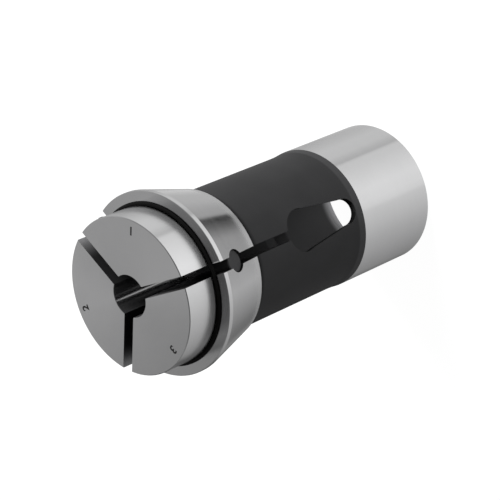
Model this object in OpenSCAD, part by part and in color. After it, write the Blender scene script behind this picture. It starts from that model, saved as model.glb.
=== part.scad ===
// Spring collet of the push type, for holding round bar in a lathe spindle.
// One turned and slotted steel collet, a soft plug in each slot and a seal ring at the nose.
// It stands on its rear face: Z is the axis, the nose is up and the first slot lies on +X.

/* [Shank] */
// Diameter of the ground guiding shank
shank_d = 52; // [46:0.1:60]
// Length of the shank
shank_l = 36.35; // [25:0.05:60]
// Wall of the shank
shank_wall = 5; // [4:0.1:8]
// Length of the lead at the rear mouth of the shank's bore
mouth_l = 4.5; // [2:0.5:8]
// How much the lead opens the mouth, on the radius
mouth_rise = 1.8; // [0.2:0.1:2]
// Chamfer at the rear end of the shank
shank_chamfer = 0.3; // [0.2:0.1:1.5]

/* [Spring body] */
// How far the blackened body lies under the shank's surface
body_relief = 0.5; // [0.2:0.05:1.5]
// Length of the body between the cone and the shank
body_l = 56.7; // [50:0.1:70]
// Wall of the body where it springs
spring_wall = 2.1; // [1.5:0.1:3.5]
// How far the thin wall runs on into the shank
wall_overrun = 2; // [1:0.5:6]
// Slope from the axis of the step between the two bores
step_angle = 30; // [20:1:60]
// Length over which the body runs out to the shank
flare_l = 8; // [4:0.5:14]

/* [Bore] */
// Diameter of the bore that grips the bar
bore_d = 15; // [8:0.5:32]
// Length of the gripping bore behind the nose face
grip_l = 38; // [30:0.5:42]
// Slope from the axis of the throat behind the gripping bore
throat_angle = 59; // [50:1:65]
// Broken edge at the mouth of the bore
bore_chamfer = 0.15; // [0.1:0.05:1]

/* [Head] */
// How far the small end of the cone stands over the body
cone_shoulder = 1.8; // [1:0.1:5]
// Length of the closing cone along the axis
cone_l = 20.3; // [17:0.1:24]
// Angle between the cone and the axis
cone_angle = 15; // [12:0.5:18]
// Length of the cylindrical land in front of the cone
land_l = 1.8; // [1:0.1:4]
// Broken edges of the head
head_chamfer = 0.2; // [0.1:0.1:0.5]

/* [Nose] */
// Width of the head's front face, round the nose
head_face_w = 4.85; // [4:0.05:8]
// Height of the nose face above the front face of the head
nose_l = 13.65; // [8:0.05:20]
// Broken edge round the nose face
nose_chamfer = 0.25; // [0.2:0.05:1]

/* [Slots and windows] */
// Width of each slot at the nose face
slot_w = 4.15; // [3:0.05:5]
// Width of each slot where it runs into its window
slot_root_w = 3.3; // [2:0.05:4]
// Radius of the wide end of each window
window_front_r = 7.7; // [6:0.1:9]
// Radius of the narrow end of each window
window_rear_r = 4.7; // [3:0.1:5.5]
// Distance between the centres of the two window ends
window_span = 22.5; // [16:0.5:26]
// Solid wall between each window and the shank
window_margin = 2.8; // [2:0.1:6]

/* [Slot plugs] */
// Diameter of the plugs
plug_d = 7.9; // [5:0.1:9]
// Length of the plugs
plug_l = 7; // [4:0.5:10]
// Depth of the outer end of each plug under the cone
plug_recess = 0.9; // [0.5:0.1:3]
// Distance along the axis from the front of the head to the plugs
plug_setback = 9.1; // [7:0.1:11]
// Radial clearance of the plugs in their pockets
plug_clearance = 0.05; // [0.02:0.01:0.1]
// Broken edge round each end of a plug
plug_chamfer = 0.3; // [0.1:0.1:0.6]

/* [Seal ring] */
// Diameter of the ring's cord
ring_cord_d = 1.5; // [0.8:0.1:2]
// Depth of the ring's groove in the nose
groove_depth = 0.35; // [0.3:0.05:0.6]
// Depth of the ring's seat in the front face of the head
seat_depth = 0.1; // [0.1:0.05:0.5]
// Clearance between the ring and the walls of its groove
ring_clearance = 0.05; // [0.02:0.01:0.1]

/* [Hidden] */

$fn = 96;
cord_facets = 32;
eps = 0.01;
overcut = 1;
slot_angles = [0, 120, 240];
flare_steps = 6;

// radii
bore_r = bore_d / 2;
shank_r = shank_d / 2;
shank_bore_r = shank_r - shank_wall;
mouth_r = shank_bore_r + mouth_rise;
body_r = shank_r - body_relief;
spring_bore_r = body_r - spring_wall;
cone_end_r = body_r + cone_shoulder;
head_r = cone_end_r + cone_l * tan(cone_angle);
nose_r = head_r - head_face_w;

// heights above the rear face
shank_z = shank_l;
cone_z = shank_z + body_l;
land_z = cone_z + cone_l;
head_z = land_z + land_l;
face_z = head_z + nose_l;
grip_z = face_z - grip_l;
throat_z = grip_z - (spring_bore_r - bore_r) / tan(throat_angle);
wall_z = shank_z - wall_overrun;
step_z = wall_z - (spring_bore_r - shank_bore_r) / tan(step_angle);
window_rear_z = shank_z + window_margin + window_rear_r;
window_front_z = window_rear_z + window_span;
window_reach = shank_r + overcut;
flank_offset = 2;

// seal ring and its groove, which is cut into the corner between the nose and the head
groove_w = ring_cord_d + 2 * ring_clearance;
groove_r = nose_r - groove_depth;
seat_r = groove_r + groove_w;
seat_z = head_z - seat_depth;
groove_z = seat_z + groove_w;
ring_r = groove_r + groove_w / 2;
ring_z = seat_z + groove_w / 2;

// point on the cone where a plug's axis comes out
plug_z = head_z - plug_setback;
plug_cone_r = head_r - (land_z - plug_z) * tan(cone_angle);
pocket_depth = plug_recess + plug_l + plug_clearance;

// The body's outside runs out to the shank on one large arc.
flare_r = (pow(flare_l, 2) + pow(body_relief, 2)) / (2 * body_relief);
flare_arc = asin(flare_l / flare_r);
function flare_point(a) = [
    body_r + flare_r * (1 - cos(a)),
    shank_z + flare_l - flare_r * sin(a)
];

// Outline of the solid collet from the rear face to the nose face, as radius and height.
outer_profile = concat(
    [[0, 0], [shank_r - shank_chamfer, 0], [shank_r, shank_chamfer]],
    [for (i = [flare_steps:-1:0]) flare_point(flare_arc * i / flare_steps)],
    [
        [body_r, cone_z],
        [cone_end_r - head_chamfer, cone_z],
        [cone_end_r, cone_z + head_chamfer],
        [head_r, land_z],
        [head_r, head_z - head_chamfer],
        [head_r - head_chamfer, head_z],
        [seat_r, head_z],
        [seat_r, seat_z],
        [groove_r, seat_z],
        [groove_r, groove_z],
        [nose_r, groove_z],
        [nose_r, face_z - nose_chamfer],
        [nose_r - nose_chamfer, face_z],
        [0, face_z]
    ]
);

// Outline of the hollow: lead, shank bore, step, thin-walled bore, throat and gripping bore.
inner_profile = [
    [0, -eps],
    [mouth_r, -eps],
    [mouth_r, 0],
    [shank_bore_r, mouth_l],
    [shank_bore_r, step_z],
    [spring_bore_r, wall_z],
    [spring_bore_r, throat_z],
    [bore_r, grip_z],
    [bore_r, face_z - bore_chamfer],
    [bore_r + bore_chamfer, face_z],
    [bore_r + bore_chamfer, face_z + eps],
    [0, face_z + eps]
];

// A slot narrows from the nose face to its window, because the jaws are sprung open.
module slot() {
    reach = head_r + overcut;
    top_z = face_z + overcut;
    top_w = slot_w + (slot_w - slot_root_w) * overcut / (face_z - window_front_z);
    rotate([90, 0, 90])
        linear_extrude(reach)
            polygon([
                [-slot_root_w / 2, window_front_z], [slot_root_w / 2, window_front_z],
                [top_w / 2, top_z], [-top_w / 2, top_z]
            ]);
}

// One round end of a window, drilled in along X.
module window_end(r, z) {
    translate([0, 0, z])
        rotate([0, 90, 0])
            cylinder(r = r, h = window_reach);
}

// A window is two round ends joined by straight flanks. The flanks start a little
// before the tangent points, so that each one crosses its round ends in a clean edge.
module window() {
    lean = asin((window_front_r - window_rear_r) / window_span) - flank_offset;
    rear_y = window_rear_r * cos(lean);
    rear_z = window_rear_z + window_rear_r * sin(lean);
    front_y = window_front_r * cos(lean);
    front_z = window_front_z + window_front_r * sin(lean);
    window_end(window_rear_r, window_rear_z);
    window_end(window_front_r, window_front_z);
    rotate([90, 0, 90])
        linear_extrude(window_reach)
            polygon([[-rear_y, rear_z], [rear_y, rear_z], [front_y, front_z], [-front_y, front_z]]);
}

// Places a shape that points along Z on a plug's axis, with its origin on the cone's surface.
module on_plug_axis() {
    translate([plug_cone_r, 0, plug_z])
        rotate([0, 90 + cone_angle, 0])
            children();
}

module plug_pocket() {
    on_plug_axis()
        translate([0, 0, -pocket_depth])
            cylinder(r = plug_d / 2 + plug_clearance, h = pocket_depth + 2 * overcut);
}

module collet() {
    color("dimgray")
        difference() {
            rotate_extrude() polygon(outer_profile);
            rotate_extrude() polygon(inner_profile);
            for (a = slot_angles)
                rotate(a) {
                    slot();
                    window();
                    plug_pocket();
                }
        }
}

// A plug bridges its slot a little under the cone.
module slot_plug(angle) {
    r = plug_d / 2;
    end_r = r - plug_chamfer;
    color("darkslategray")
        rotate(angle)
            on_plug_axis()
                translate([0, 0, -plug_recess - plug_l])
                    rotate_extrude()
                        polygon([
                            [0, 0], [end_r, 0], [r, plug_chamfer],
                            [r, plug_l - plug_chamfer], [end_r, plug_l], [0, plug_l]
                        ]);
}

module seal_ring() {
    color("black")
        translate([0, 0, ring_z])
            rotate_extrude()
                translate([ring_r, 0])
                    circle(ring_cord_d / 2, $fn = cord_facets);
}

collet();
seal_ring();
slot_plug(slot_angles[0]);  // slot_plug_1
slot_plug(slot_angles[1]);  // slot_plug_2
slot_plug(slot_angles[2]);  // slot_plug_3
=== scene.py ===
"""Looks for a push-type spring collet: finishes on its solids, jaw numbers and a light table."""

import math
from types import SimpleNamespace

import bpy
from bpy.props import FloatProperty, FloatVectorProperty, PointerProperty
from mathutils import Matrix, Vector


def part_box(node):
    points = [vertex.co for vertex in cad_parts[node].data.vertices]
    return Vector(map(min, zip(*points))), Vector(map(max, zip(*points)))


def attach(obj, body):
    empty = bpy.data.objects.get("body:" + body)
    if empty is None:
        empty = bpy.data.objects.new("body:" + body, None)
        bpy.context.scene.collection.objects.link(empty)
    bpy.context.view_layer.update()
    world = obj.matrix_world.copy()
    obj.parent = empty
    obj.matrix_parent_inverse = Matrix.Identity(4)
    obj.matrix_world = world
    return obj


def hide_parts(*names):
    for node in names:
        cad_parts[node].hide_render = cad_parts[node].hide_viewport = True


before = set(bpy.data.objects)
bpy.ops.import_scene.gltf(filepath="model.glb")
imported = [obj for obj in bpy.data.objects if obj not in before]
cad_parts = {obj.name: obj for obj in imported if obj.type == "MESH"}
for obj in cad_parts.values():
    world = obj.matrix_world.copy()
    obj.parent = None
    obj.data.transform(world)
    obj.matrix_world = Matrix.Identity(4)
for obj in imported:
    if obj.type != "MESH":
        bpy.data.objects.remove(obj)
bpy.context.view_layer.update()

bl_info = {
    "name": "Spring collet looks",
    "version": (1, 0, 0),
    "blender": (4, 5, 0),
    "location": "View3D > Sidebar > Collet",
    "description": "Finishes, seal ring, jaw numbers and a stage for a spring collet",
    "category": "Object",
}

BODY = "root"
PLUGS = ("slot_plug_1", "slot_plug_2", "slot_plug_3")
JAWS = 3

# Heights above the rear face and radii of the collet, in metres, as its solid has them.
SHANK_R = 0.026
STEP = (0.0302, 0.0343)
CONE_BOTTOM = 0.09305
CONE_END_R = 0.0273
CONE_LENGTH = 0.0203
HEAD_R = 0.032739
HEAD_TOP = 0.11515
NOSE_R = 0.027889
FACE_TOP = 0.1288
CONE_SLOPE = (HEAD_R - CONE_END_R) / CONE_LENGTH

# Limits that tell the finishes apart, in metres. SKIN is how far under a surface they begin.
SKIN = 0.00012
GROUND_REAR = 0.00035
GROUND_SHANK = 0.0362
GROOVE_REACH = 0.0003
BORE_REACH = 0.0079
HOLLOW_REACH = 0.0245
MOUTH_REACH = 0.0229
# The most that the normal of a turned surface may point round the axis.
TURNED = 0.3
# The least that the normal of a face that looks up points upwards.
UPWARD = 0.5

# Distances from the edge of a zone, for a finish and for painted light and shade: the change is
# at its full up to the first, and gone at the second.
RUNOUT_SPAN = (0.0024, 0.00336)
DARK_CORNER = (0.0018, 0.0036)
RUBBED_CONE = (0.0008, 0.0048)
WORN_AND_LIT_SPAN = (0.00148, 0.0074)
# Painted light: the walls of the slots in the nose get lighter from the first of two places to the
# second: by X in the first slot and by radius in the others. SLOT_FADE is how far from the foot of
# the nose, up and down, this begins and ends.
FIRST_SLOT = (0.024, 0.012)
OTHER_SLOTS = (0.019, NOSE_R)
SLOT_FADE = 0.004

# Ground steel: how uneven it is, and how its zones differ from the plain outside, the bore being
# darker by painted shade. BORE_OXIDE is the share of oxide in the bore's finish.
STEEL_SPREAD = 0.06
STEEL_UNEVEN = 0.05
NOSE_GAIN = 0.08
RUBBED_GAIN = 0.05
RUBBED_ROUGHNESS = 0.16
BORE_PAINTED_SHADE = -0.3
BORE_OXIDE = 0.4
STREAK = 0.9
QUARTER_TURN = 0.25

# Black oxide: the shades are painted shade, the shares by which its zones are darker than the
# outside of the body, with two for the cut walls, in the body and in the head. The gains are
# painted light, with wear at the mouth: the one next to the ground shank multiplies its colour,
# and the others are the multiples of it that a zone gets on top.
CUT_SHADE = (0.5, 0.3)
HOLLOW_SHADE = 0.27
CORNER_SHADE = 0.5
RUNOUT_PAINTED_LIGHT = 1.5
STEP_PAINTED_LIGHT = 1.2
FIRST_SLOT_PAINTED_LIGHT = 1.6
BORE_PAINTED_LIGHT = 2.2
OTHER_SLOTS_PAINTED_LIGHT = 5.0
WORN_AND_LIT = 9.0
OXIDE_SPREAD = 0.25
OXIDE_UNEVEN = 0.05
OXIDE_EDGE = (0.68, 0.68, 0.68, 1.0)

# Textures: cells to the metre, or to the radian for the run of the grinding lines.
LINE_RUN = 2.2
BROAD_LINES = 260.0
CLOUD = 75.0
SPECK = 2600.0
# Height of the clouds in the steel's relief, for grinding lines that are 1 high.
CLOUD_RELIEF = 18.0

# Segments of the ring and of one turn round its cord.
RING_SEGMENTS = 240
CORD_SEGMENTS = 24
# Height of a digit as a share of the font's size.
DIGIT_SHARE = 0.7

# Levels of the studio light, as (degrees round the collet from +X, level). Each strip of light
# is the one that a turned surface mirrors to the camera at that angle: the belt is for the
# cylinders and the part under it for the cone. The high part is for the corner where the nose
# and the head mirror each other, and the roof for the flat faces.
UNDER_LIGHT = (
    (-180, 0.2), (-70, 0.4), (-54, 0.2), (-46, 0.25), (-30, 0.5), (-18, 0.7), (-8, 0.6),
    (16, 0.45), (24, 0.15), (30, 0), (32, 0), (34, 0.55), (50, 0.75), (60, 0.75), (72, 1),
    (180, 0.6))
BELT_LIGHT = (
    (-180, 0.3), (-90, 0.25), (-72, 0.15), (-62, 0.4), (-30, 0.75), (-6, 1.1), (-3, 1.3),
    (10, 1.4), (36, 1.1), (38, 0.8), (46, 1), (56, 1), (78, 0.65), (180, 0.4))
HIGH_LIGHT = (
    (-180, 0.4), (-90, 0.1), (-56, 0.35), (-42, 0.2), (-26, 0.2), (-8, 0.15), (4, 0.2),
    (14, 0.2), (34, 0.35), (60, 0.4), (74, 0.6), (100, 0.65), (180, 0.5))
ROOF_LIGHT = (
    (-180, 0.6), (-110, 0.3), (-75, 0.2), (-20, 0.55), (15, 0.6), (50, 0.5), (90, 0.5),
    (160, 0.7), (180, 0.7))
# The belts over the lowest one, each with the height angles, in degrees, between which it
# takes over.
UPPER_BELTS = ((BELT_LIGHT, -10.5, -6.0), (HIGH_LIGHT, 10.0, 30.0), (ROOF_LIGHT, 74.0, 84.0))
# Colour of the sky at level 1.
SKY_GREY = (0.8, 0.8, 0.8, 1.0)

# Where the overhead softbox stands, seen from the camera's aim, and its width.
KEY_AZIMUTH = math.radians(95)
KEY_ELEVATION = math.radians(38)
KEY_DISTANCE = 0.9
KEY_SIZE = 0.6

# The floor lies a hair under the rear face. Its grey takes the shadow, and its glow keeps that
# faint.
TABLE_SIDES = 96
TABLE_DROP = 0.0001
TABLE_GREY = (0.1, 0.1, 0.1, 1.0)
TABLE_GLOW = 1.01

# Width of the camera's sensor in millimetres, and how near and far it sees in metres.
SENSOR_WIDTH = 36
CLIP_START = 0.01
CLIP_END = 50


# sizes and colours


class ColletFinish(bpy.types.PropertyGroup):
    """Colours and textures of the collet's finishes."""

    steel: FloatVectorProperty(
        name="Ground steel", description="Colour of the ground surfaces",
        default=(0.63, 0.63, 0.635), subtype="COLOR", size=3, min=0, max=1)
    steel_roughness: FloatProperty(
        name="Steel roughness", description="Roughness of the ground surfaces",
        default=0.17, min=0, max=1)
    grain: FloatProperty(
        name="Grinding grain", description="Distance between the coarse grinding lines",
        default=0.00025, unit="LENGTH")
    grind_depth: FloatProperty(
        name="Grinding depth", description="Depth of the grinding lines",
        default=0.0000012, unit="LENGTH")
    oxide: FloatVectorProperty(
        name="Black oxide", description="Colour of the blackened surfaces",
        default=(0.04, 0.04, 0.041), subtype="COLOR", size=3, min=0, max=1)
    oxide_roughness: FloatProperty(
        name="Oxide roughness", description="Roughness of the blackened surfaces",
        default=0.36, min=0, max=1)
    oxide_depth: FloatProperty(
        name="Oxide depth", description="Depth of the oxide's grain",
        default=0.000004, unit="LENGTH")
    ring: FloatVectorProperty(
        name="Seal ring", description="Colour of the seal ring",
        default=(0.003, 0.003, 0.003), subtype="COLOR", size=3, min=0, max=1)
    ring_depth: FloatProperty(
        name="Ring grain", description="Depth of the grain on the seal ring",
        default=0.000004, unit="LENGTH")
    plug: FloatVectorProperty(
        name="Slot plugs", description="Colour of the slot plugs",
        default=(0.035, 0.035, 0.037), subtype="COLOR", size=3, min=0, max=1)
    plug_depth: FloatProperty(
        name="Plug grain", description="Depth of the grain on the slot plugs",
        default=0.00003, unit="LENGTH")


class ColletRing(bpy.types.PropertyGroup):
    """The seal ring, which has taken a flat set in its groove."""

    radius: FloatProperty(
        name="Radius", description="Distance from the axis to the middle of the cord",
        default=0.02838, unit="LENGTH")
    width: FloatProperty(
        name="Width", description="Width of the cord across the axis", default=0.00144,
        unit="LENGTH")
    height: FloatProperty(
        name="Height", description="Height of the cord along the axis", default=0.0007,
        unit="LENGTH")
    lift: FloatProperty(
        name="Lift", description="Gap between the cord and the floor of its groove",
        default=0.00003, unit="LENGTH")
    seam: FloatProperty(
        name="Mould seam", description="How far the mould's seam stands proud of the cord",
        default=0.00002, unit="LENGTH")


class ColletNumbers(bpy.types.PropertyGroup):
    """Plain numbers etched near the rim of the nose face, one to each jaw."""

    height: FloatProperty(
        name="Height", description="Height of the digits", default=0.003, unit="LENGTH")
    radius: FloatProperty(
        name="Radius", description="Distance from the axis to the middle of the digits",
        default=0.0238, unit="LENGTH")
    weight: FloatProperty(
        name="Weight", description="How far the strokes are widened on each side",
        default=0.00012, unit="LENGTH")
    depth: FloatProperty(
        name="Thickness", description="Thickness of the etched film", default=0.00001,
        unit="LENGTH")
    ink: FloatVectorProperty(
        name="Etching", description="Colour of the etched digits",
        default=(0.015, 0.015, 0.015), subtype="COLOR", size=3, min=0, max=1)


class ColletStage(bpy.types.PropertyGroup):
    """Camera, light table and lights."""

    azimuth: FloatProperty(
        name="Azimuth", description="Camera's angle round the axis, from +X",
        default=math.radians(5.7), subtype="ANGLE")
    elevation: FloatProperty(
        name="Elevation", description="Camera's height angle over the table",
        default=math.radians(43.15), subtype="ANGLE")
    roll: FloatProperty(
        name="Roll", description="Turn of the picture about the line of sight",
        default=math.radians(-113.3), subtype="ANGLE")
    distance: FloatProperty(
        name="Distance", description="From the camera to the point that it aims at",
        default=0.74, unit="LENGTH")
    aim: FloatVectorProperty(
        name="Aim", description="Point in the middle of the picture",
        default=(0.00015, -0.00165, 0.06985), subtype="XYZ", size=3)
    lens: FloatProperty(
        name="Lens", description="Focal length in millimetres on a 36 mm sensor",
        default=151.4)
    table: FloatVectorProperty(
        name="Light table", description="Colour of the floor",
        default=(0.96, 0.96, 0.96), subtype="COLOR", size=3, min=0, max=1)
    table_size: FloatProperty(
        name="Table size", description="Radius of the floor", default=4.0, unit="LENGTH")
    key_power: FloatProperty(
        name="Key light", description="Power of the overhead softbox in watts", default=20.0)


# node helpers


class Nodes:
    """Builds a node tree with few words: numbers and sockets can be mixed freely."""

    def __init__(self, tree):
        self.tree = tree
        tree.nodes.clear()

    def add(self, kind, **settings):
        node = self.tree.nodes.new(kind)
        for name, value in settings.items():
            setattr(node, name, value)
        return node

    def feed(self, socket, value):
        if isinstance(value, bpy.types.NodeSocket):
            self.tree.links.new(value, socket)
        else:
            socket.default_value = value

    def wire(self, kind, *values, **settings):
        """The output of a new node whose first inputs get the values in turn."""
        node = self.add(kind, **settings)
        for socket, value in zip(node.inputs, values):
            self.feed(socket, value)
        return node.outputs[0]

    def math(self, operation, *values):
        return self.wire("ShaderNodeMath", *values, operation=operation)

    def above(self, value, limit):
        return self.math("GREATER_THAN", value, limit)

    def below(self, value, limit):
        return self.math("LESS_THAN", value, limit)

    def both(self, a, b):
        return self.math("MULTIPLY", a, b)

    def either(self, *masks):
        out = masks[0]
        for mask in masks[1:]:
            out = self.math("MAXIMUM", out, mask)
        return out

    def smooth(self, value, low, high, to_low=0.0, to_high=1.0):
        return self.wire(
            "ShaderNodeMapRange", value, low, high, to_low, to_high,
            interpolation_type="SMOOTHSTEP")

    def blend(self, low, high, factor):
        """From the first level to the second as the factor goes from 0 to 1."""
        return self.math("MULTIPLY_ADD", self.math("SUBTRACT", high, low), factor, low)

    def mingle(self, a, b, share):
        """The share of the first level and the rest of the second."""
        return self.math("MULTIPLY_ADD", a, share, self.math("MULTIPLY", b, 1 - share))

    def pile(self, base, *layers):
        """The base with each layer on it, where a layer is (mask, amount)."""
        for mask, amount in layers:
            base = self.math("MULTIPLY_ADD", mask, amount, base)
        return base

    def length(self, x, y):
        return self.math("SQRT", self.math("MULTIPLY_ADD", x, x, self.math("MULTIPLY", y, y)))

    def ramp(self, value, stops):
        """Level along a line of (place in degrees, level) stops, for a value from 0 to 1."""
        node = self.add("ShaderNodeValToRGB")
        marks = node.color_ramp.elements
        while len(marks) < len(stops):
            marks.new(0.5)
        for mark, (degrees, level) in zip(marks, stops):
            mark.position = degrees / 360 + 0.5
            mark.color = (level, level, level, 1)
        self.feed(node.inputs[0], value)
        return node.outputs[0]

    def split(self, vector):
        node = self.add("ShaderNodeSeparateXYZ")
        self.feed(node.inputs[0], vector)
        return node.outputs

    def join(self, x, y, z):
        return self.wire("ShaderNodeCombineXYZ", x, y, z)

    def noise(self, vector, scale=1.0, detail=2.0, roughness=0.5):
        node = self.add("ShaderNodeTexNoise")
        self.feed(node.inputs["Vector"], vector)
        for name, value in (("Scale", scale), ("Detail", detail), ("Roughness", roughness)):
            node.inputs[name].default_value = value
        return node.outputs["Fac"]

    def scale(self, colour, gain):
        return self.wire("ShaderNodeMixRGB", 1.0, colour, gain, blend_type="MULTIPLY")

    def tint(self, colour, factor, spread):
        """The colour, made lighter and darker by the factor, which is about a half."""
        return self.scale((*colour, 1), self.pile(1 - spread, (factor, 2 * spread)))

    def bump(self, height, distance):
        node = self.add("ShaderNodeBump")
        node.inputs["Distance"].default_value = distance
        self.feed(node.inputs["Height"], height)
        return node.outputs[0]

    def surface(self, **values):
        node = self.add("ShaderNodeBsdfPrincipled")
        for name, value in values.items():
            self.feed(node.inputs[name.replace("_", " ")], value)
        return node.outputs[0]

    def finish(self, shader, kind="ShaderNodeOutputMaterial"):
        out = self.add(kind)
        self.feed(out.inputs[0], shader)


def new_material(name):
    material = bpy.data.materials.new(name)
    material.use_nodes = True
    return material, Nodes(material.node_tree)


def object_point(n):
    return n.add("ShaderNodeTexCoord").outputs["Object"]


def dress(piece, material):
    """Puts one material on a piece."""
    if piece.material_slots:
        for slot in piece.material_slots:
            slot.material = material
    else:
        piece.data.materials.append(material)


def deselect():
    for thing in bpy.context.selected_objects:
        thing.select_set(False)


def select_rim(piece, radius, near):
    """Selects only the vertices that lie at a radius from the axis, halfway up the piece."""
    for face in piece.data.polygons:
        face.select = False
    for edge in piece.data.edges:
        edge.select = False
    for vertex in piece.data.vertices:
        vertex.select = (
            abs(vertex.co.z) < near and abs(vertex.co.to_2d().length - radius) < near)


def direction(azimuth, elevation):
    """Unit vector from an angle round the axis and a height angle."""
    flat = math.cos(elevation)
    return Vector((flat * math.cos(azimuth), flat * math.sin(azimuth), math.sin(elevation)))


# the collet's finish


def turned_zone(n, normal, at):
    """1 on all that was turned, and 0 on what was sawn, milled or drilled across."""
    around = n.math(
        "SUBTRACT", n.math("MULTIPLY", at.x, normal[1]), n.math("MULTIPLY", at.y, normal[0]))
    return n.below(n.math("ABSOLUTE", around), n.math("MULTIPLY", at.radius, TURNED))


def ground_zone(n, normal, at):
    """1 on the ground surfaces, and 0 on the blackened ones."""
    climb = n.pile(CONE_END_R, (n.math("SUBTRACT", at.z, CONE_BOTTOM), CONE_SLOPE))
    head = n.math("MINIMUM", climb, HEAD_R)
    on_nose = n.above(at.z, HEAD_TOP + SKIN)
    outside = n.pile(head, (on_nose, NOSE_R - GROOVE_REACH - HEAD_R))
    front = n.both(
        n.above(at.z, CONE_BOTTOM - SKIN / 2),
        n.either(
            n.above(at.radius, n.math("SUBTRACT", outside, SKIN)),
            n.below(at.radius, BORE_REACH),
            n.above(normal[2], UPWARD)))
    rear = n.both(
        n.below(at.z, GROUND_SHANK),
        n.either(
            n.above(at.radius, SHANK_R - SKIN),
            n.below(at.z, GROUND_REAR)))
    return n.both(at.turned, n.either(front, rear))


def ground_steel(n, props, at):
    """Ground steel, with fine lines round the axis and highlights drawn out across them."""
    # The nose shines most.
    nose = n.both(n.above(at.z, HEAD_TOP + SKIN), n.above(at.radius, NOSE_R - SKIN))
    # The sleeve wears the small end of the cone, so its polish is duller there.
    rubbed = n.both(
        n.above(at.z, CONE_BOTTOM - SKIN),
        n.smooth(at.z, CONE_BOTTOM + RUBBED_CONE[1], CONE_BOTTOM + RUBBED_CONE[0]))
    # In the bore the steel is darker: painted shade.
    gain = n.pile(1.0, (rubbed, RUBBED_GAIN), (nose, NOSE_GAIN), (at.bore, BORE_PAINTED_SHADE))
    roughness = n.pile(
        props.steel_roughness - STEEL_UNEVEN,
        (n.math("ADD", at.broad, at.cloud), STEEL_UNEVEN),
        (rubbed, RUBBED_ROUGHNESS))
    uneven = n.tint(props.steel, n.mingle(at.fine, at.broad, share=0.5), STEEL_SPREAD)
    return n.surface(
        Base_Color=n.scale(uneven, gain),
        Metallic=1.0,
        Roughness=roughness,
        Anisotropic=STREAK,
        Anisotropic_Rotation=QUARTER_TURN,
        Tangent=n.wire("ShaderNodeTangent", direction_type="RADIAL", axis="Z"),
        Normal=n.bump(n.pile(at.fine, (at.cloud, CLOUD_RELIEF)), props.grind_depth))


def black_oxide(n, props, at):
    """Black oxide, uneven by wear, and by painted shade and light on cuts, in corners and in
    zones.
    """
    speck = n.noise(at.point, SPECK, roughness=0.6)
    # Painted shade: it is darker in the hollow, on the cut walls and in the corner behind the
    # cone.
    cut = n.math("SUBTRACT", 1.0, at.turned)
    cut_shade = n.both(cut, n.smooth(at.z, CONE_BOTTOM - DARK_CORNER[1], CONE_BOTTOM, *CUT_SHADE))
    hollow = n.below(at.radius, HOLLOW_REACH)
    corner = n.both(
        at.turned,
        n.smooth(at.z, CONE_BOTTOM - DARK_CORNER[1], CONE_BOTTOM - DARK_CORNER[0]))
    shade = n.math("SUBTRACT", 1.0, n.either(
        cut_shade, n.both(hollow, HOLLOW_SHADE), n.both(corner, CORNER_SHADE)))
    # Painted light makes it lighter next to the ground shank. Where bar enters the mouth it is
    # worn, and painted light makes it lighter there too.
    runout_light = n.smooth(
        at.z, GROUND_SHANK + RUNOUT_SPAN[1], GROUND_SHANK + RUNOUT_SPAN[0], 1.0, RUNOUT_PAINTED_LIGHT)
    worn_and_lit = n.both(n.below(at.radius, MOUTH_REACH), n.smooth(at.z, WORN_AND_LIT_SPAN[1], WORN_AND_LIT_SPAN[0]))
    # Painted light: the step in the hollow is lighter. So are the walls of the slots in the nose:
    # those of the first slot near the bore, those of the other two at the rim.
    step = n.both(hollow, n.both(n.above(at.z, STEP[0]), n.below(at.z, STEP[1])))
    first = n.both(n.above(at.x, 0.0), n.smooth(at.x, *FIRST_SLOT, 0.0, FIRST_SLOT_PAINTED_LIGHT))
    others = n.both(n.below(at.x, 0.0), n.smooth(at.radius, *OTHER_SLOTS, 0.0, OTHER_SLOTS_PAINTED_LIGHT))
    slot_light = n.both(
        n.both(cut, n.smooth(at.z, HEAD_TOP - SLOT_FADE, HEAD_TOP + SLOT_FADE)),
        n.either(first, others))
    # In the bore the oxide is lighter: painted light.
    gain = n.pile(
        slot_light, (step, STEP_PAINTED_LIGHT), (at.bore, BORE_PAINTED_LIGHT), (worn_and_lit, WORN_AND_LIT), (shade, runout_light))
    patchy = n.tint(props.oxide, n.mingle(at.cloud, speck, share=0.6), OXIDE_SPREAD)
    return n.surface(
        Base_Color=n.scale(patchy, gain),
        Metallic=0.5,
        Specular_IOR_Level=0.0,
        Specular_Tint=OXIDE_EDGE,
        Roughness=n.pile(props.oxide_roughness - OXIDE_UNEVEN, (at.cloud, 2 * OXIDE_UNEVEN)),
        Normal=n.bump(n.mingle(at.fine, speck, share=0.6), props.oxide_depth))


def steel_and_oxide(props):
    """One material for the whole collet: steel where it is ground, black oxide elsewhere."""
    material, n = new_material("collet_finish")
    coords = n.add("ShaderNodeTexCoord")
    normal = n.split(coords.outputs["Normal"])
    point = coords.outputs["Object"]
    x, y, z = n.split(point)
    at = SimpleNamespace(point=point, x=x, y=y, z=z, radius=n.length(x, y))
    at.turned = turned_zone(n, normal, at)
    # The gripping bore is ground too, with oxide left in it. Its steel is darker by painted shade,
    # and its oxide is lighter by painted light.
    at.bore = n.both(
        at.turned, n.both(n.below(at.radius, BORE_REACH), n.below(z, FACE_TOP - SKIN)))

    # Lines that the grinding wheel and the turning tool leave run round the axis.
    along = n.math("ADD", z, at.radius)
    angle = n.math("ARCTAN2", y, x)
    lines = n.join(n.math("DIVIDE", along, props.grain), n.math("MULTIPLY", angle, LINE_RUN), 0.0)
    at.fine = n.noise(lines, detail=3.0, roughness=0.6)
    at.broad = n.noise(n.join(n.math("MULTIPLY", along, BROAD_LINES), angle, 0.0))
    at.cloud = n.noise(point, CLOUD)

    steel_share = n.both(ground_zone(n, normal, at), n.pile(1.0, (at.bore, -BORE_OXIDE)))
    n.finish(n.wire(
        "ShaderNodeMixShader", steel_share, black_oxide(n, props, at), ground_steel(n, props, at)))
    return material


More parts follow.
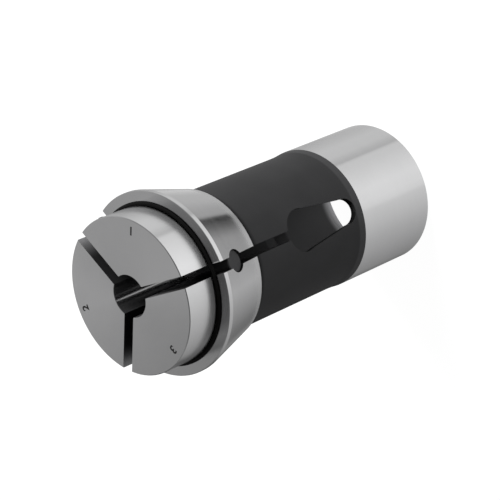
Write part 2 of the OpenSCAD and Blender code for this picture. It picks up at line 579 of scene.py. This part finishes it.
def ring_rubber(props):
    """Smooth black rubber with a faint bloom."""
    material, n = new_material("seal_ring_rubber")
    point = object_point(n)
    bloom = n.noise(point, scale=420.0, detail=3.0)
    n.finish(n.surface(
        Base_Color=n.tint(props.ring, bloom, spread=0.35),
        Roughness=n.blend(low=0.48, high=0.64, factor=bloom),
        Specular_IOR_Level=0.15,
        Normal=n.bump(n.noise(point, scale=5200.0), props.ring_depth)))
    return material


def plug_rubber(props):
    """Matt dark grey rubber with the grain of a cut cord."""
    material, n = new_material("slot_plug_rubber")
    point = object_point(n)
    grain = n.noise(point, scale=3800.0, detail=3.0, roughness=0.7)
    blotch = n.noise(point, scale=500.0)
    n.finish(n.surface(
        Base_Color=n.tint(props.plug, n.mingle(grain, blotch, share=0.5), spread=0.3),
        Roughness=n.blend(low=0.72, high=0.84, factor=grain),
        Normal=n.bump(grain, props.plug_depth)))
    return material


def etching(props):
    """Dark laser etching, a little uneven, on the ground face."""
    material, n = new_material("etched_mark")
    dots = n.noise(object_point(n), scale=9000.0, roughness=0.7)
    n.finish(n.surface(
        Base_Color=n.tint(props.ink, dots, spread=0.4),
        Metallic=0.4,
        Roughness=n.blend(low=0.5, high=0.7, factor=dots)))
    return material


class COLLET_OT_finish(bpy.types.Operator):
    """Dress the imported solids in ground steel, black oxide and rubber"""

    bl_idname = "collet.finish"
    bl_label = "Dress the solids"

    def execute(self, context):
        props = context.scene.collet_finish
        dress(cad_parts["collet"], steel_and_oxide(props))
        rubber = plug_rubber(props)
        for name in PLUGS:
            dress(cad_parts[name], rubber)
        return {"FINISHED"}


class COLLET_OT_ring(bpy.types.Operator):
    """Model the seal ring with its flattened cord and mould seams"""

    bl_idname = "collet.ring"
    bl_label = "Model the seal ring"

    def execute(self, context):
        props = context.scene.collet_ring
        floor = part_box("seal_ring")[0].z
        middle = floor + props.lift + props.height / 2
        near = props.height / 100
        deselect()
        bpy.ops.mesh.primitive_torus_add(
            major_radius=props.radius, minor_radius=props.width / 2,
            major_segments=RING_SEGMENTS, minor_segments=CORD_SEGMENTS, location=(0, 0, 0))
        ring = context.object
        ring.name = "seal_ring_cord"
        bpy.ops.object.mode_set(mode="EDIT")
        bpy.ops.mesh.select_all(action="SELECT")
        bpy.ops.transform.resize(value=(1, 1, props.height / props.width))
        bpy.ops.object.mode_set(mode="OBJECT")
        # The two halves of the mould leave a fine seam at the outer and the inner edge.
        for side in (1, -1):
            edge = props.radius + side * props.width / 2
            swell = 1 + side * props.seam / edge
            select_rim(ring, edge, near)
            bpy.ops.object.mode_set(mode="EDIT")
            bpy.ops.transform.resize(value=(swell, swell, 1), center_override=(0, 0, 0))
            bpy.ops.object.mode_set(mode="OBJECT")
        ring.location = (0, 0, middle)
        bpy.ops.object.transform_apply(location=True, rotation=True, scale=True)
        bpy.ops.object.shade_smooth()
        dress(ring, ring_rubber(context.scene.collet_finish))
        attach(ring, BODY)
        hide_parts("seal_ring")
        return {"FINISHED"}


class COLLET_OT_numbers(bpy.types.Operator):
    """Etch a plain number near the rim of each jaw"""

    bl_idname = "collet.numbers"
    bl_label = "Etch the jaw numbers"

    def execute(self, context):
        props = context.scene.collet_numbers
        ink = etching(props)
        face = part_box("collet")[1].z
        close = props.depth / 10
        for jaw in range(1, JAWS + 1):
            deselect()
            bpy.ops.object.text_add(location=(0, 0, 0))
            text = context.object
            text.data.body = str(jaw)
            text.data.size = props.height / DIGIT_SHARE
            text.data.extrude = props.depth / 2
            text.data.offset = props.weight
            text.data.align_x = "CENTER"
            text.data.align_y = "CENTER"
            bpy.ops.object.convert(target="MESH")
            number = context.object
            if not number.data.polygons:
                raise RuntimeError(f"the font has no outline for jaw number {jaw}")
            bpy.ops.object.mode_set(mode="EDIT")
            bpy.ops.mesh.select_all(action="SELECT")
            bpy.ops.mesh.remove_doubles(threshold=close)
            bpy.ops.mesh.dissolve_degenerate(threshold=close)
            bpy.ops.mesh.normals_make_consistent(inside=False)
            bpy.ops.object.mode_set(mode="OBJECT")
            # The slots lie at 0, 120 and 240 degrees, so a jaw's middle lies halfway between.
            turn = math.tau * (jaw - 0.5) / JAWS
            number.location = (
                props.radius * math.cos(turn), props.radius * math.sin(turn),
                face + props.depth / 2)
            number.rotation_euler = (0, 0, turn - math.pi / 2)
            bpy.ops.object.transform_apply(location=True, rotation=True, scale=True)
            number.name = f"jaw_number_{jaw}"
            dress(number, ink)
            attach(number, BODY)
        return {"FINISHED"}


# the stage


def light_table(props):
    """A nearly white floor that glows, so that shadows on it stay faint."""
    deselect()
    bpy.ops.mesh.primitive_circle_add(
        vertices=TABLE_SIDES, radius=props.table_size, fill_type="NGON",
        location=(0, 0, -TABLE_DROP))
    table = bpy.context.object
    table.name = "light_table"
    table.visible_glossy = False
    bpy.ops.object.transform_apply(location=True, rotation=True, scale=True)
    material, n = new_material("light_table_white")
    matt = n.wire("ShaderNodeBsdfDiffuse", TABLE_GREY)
    glow = n.wire("ShaderNodeEmission", (*props.table, 1), TABLE_GLOW)
    n.finish(n.wire("ShaderNodeAddShader", matt, glow))
    dress(table, material)


def overhead_box(props, aim):
    """A square area light that looks at the collet, and that nothing mirrors."""
    deselect()
    way = direction(KEY_AZIMUTH, KEY_ELEVATION)
    bpy.ops.object.light_add(type="AREA", location=aim + way * KEY_DISTANCE)
    lamp = bpy.context.object
    lamp.name = "overhead_box"
    lamp.rotation_euler = way.to_track_quat("Z", "Y").to_euler()
    lamp.data.shape = "SQUARE"
    lamp.data.size = KEY_SIZE
    lamp.data.energy = props.key_power
    lamp.visible_camera = False
    lamp.visible_glossy = False


def studio_light(world, view):
    """Soft light painted on the sky for the steel to mirror. The camera sees plain grey there.

    The view is the photo's line of sight, and it stays when another view moves the camera.
    """
    world.use_nodes = True
    n = Nodes(world.node_tree)
    way = n.add("ShaderNodeTexCoord").outputs["Generated"]
    # A surface mirrors this part of the sky along the view where it faces halfway between them.
    x, y, z = (n.math("ADD", part, own) for part, own in zip(n.split(way), view))
    turn = n.pile(0.5, (n.math("ARCTAN2", y, x), 1 / math.tau))
    lean = n.math("MULTIPLY", n.math("ARCTAN2", z, n.length(x, y)), math.degrees(1))
    level = n.ramp(turn, UNDER_LIGHT)
    for stops, start, end in UPPER_BELTS:
        level = n.blend(level, n.ramp(turn, stops), n.smooth(lean, start, end))

    sky = n.wire("ShaderNodeBackground", SKY_GREY, level)
    plain = n.wire("ShaderNodeBackground", SKY_GREY, 1.0)
    seen = n.add("ShaderNodeLightPath").outputs["Is Camera Ray"]
    n.finish(n.wire("ShaderNodeMixShader", seen, sky, plain), "ShaderNodeOutputWorld")
    world.cycles.sampling_method = "NONE"


def picture_camera(props, aim, back):
    """The camera, set back from the aim and rolled as in the photo."""
    upright = (Vector((0, 0, 1)) - back * back.z).normalized()
    up = upright * math.cos(props.roll) + back.cross(upright) * math.sin(props.roll)
    deselect()
    bpy.ops.object.camera_add(location=aim + back * props.distance)
    camera = bpy.context.object
    camera.name = "camera"
    camera.rotation_mode = "QUATERNION"
    camera.rotation_quaternion = Matrix((up.cross(back), up, back)).transposed().to_quaternion()
    camera.data.sensor_width = SENSOR_WIDTH
    camera.data.lens = props.lens
    camera.data.clip_start = CLIP_START
    camera.data.clip_end = CLIP_END
    return camera


class COLLET_OT_stage(bpy.types.Operator):
    """Set the camera, the light table and the lights"""

    bl_idname = "collet.stage"
    bl_label = "Set the stage"

    def execute(self, context):
        props = context.scene.collet_stage
        aim = Vector(props.aim)
        back = direction(props.azimuth, props.elevation)
        light_table(props)
        overhead_box(props, aim)
        context.scene.world = bpy.data.worlds.new("studio")
        studio_light(context.scene.world, back)
        context.scene.camera = picture_camera(props, aim, back)
        context.scene.view_settings.view_transform = "Standard"
        return {"FINISHED"}


class COLLET_PT_panel(bpy.types.Panel):
    """Lists the collet's sizes, colours and steps"""

    bl_label = "Spring collet"
    bl_idname = "COLLET_PT_panel"
    bl_space_type = "VIEW_3D"
    bl_region_type = "UI"
    bl_category = "Collet"

    def draw(self, context):
        scene = context.scene
        for group, kind in GROUPS.items():
            box = self.layout.box()
            for name in kind.__annotations__:
                box.prop(getattr(scene, group), name)
        for step in STEPS:
            self.layout.operator(step.bl_idname)


STEPS = (COLLET_OT_finish, COLLET_OT_ring, COLLET_OT_numbers, COLLET_OT_stage)
GROUPS = {
    "collet_finish": ColletFinish, "collet_ring": ColletRing,
    "collet_numbers": ColletNumbers, "collet_stage": ColletStage}
CLASSES = (*GROUPS.values(), *STEPS, COLLET_PT_panel)


def register():
    for cls in CLASSES:
        bpy.utils.register_class(cls)
    for name, group in GROUPS.items():
        setattr(bpy.types.Scene, name, PointerProperty(type=group))


def unregister():
    for name in GROUPS:
        delattr(bpy.types.Scene, name)
    for cls in reversed(CLASSES):
        bpy.utils.unregister_class(cls)


def main():
    register()
    bpy.ops.collet.finish()
    bpy.ops.collet.ring()
    bpy.ops.collet.numbers()
    bpy.ops.collet.stage()


if __name__ == "__main__":
    main()
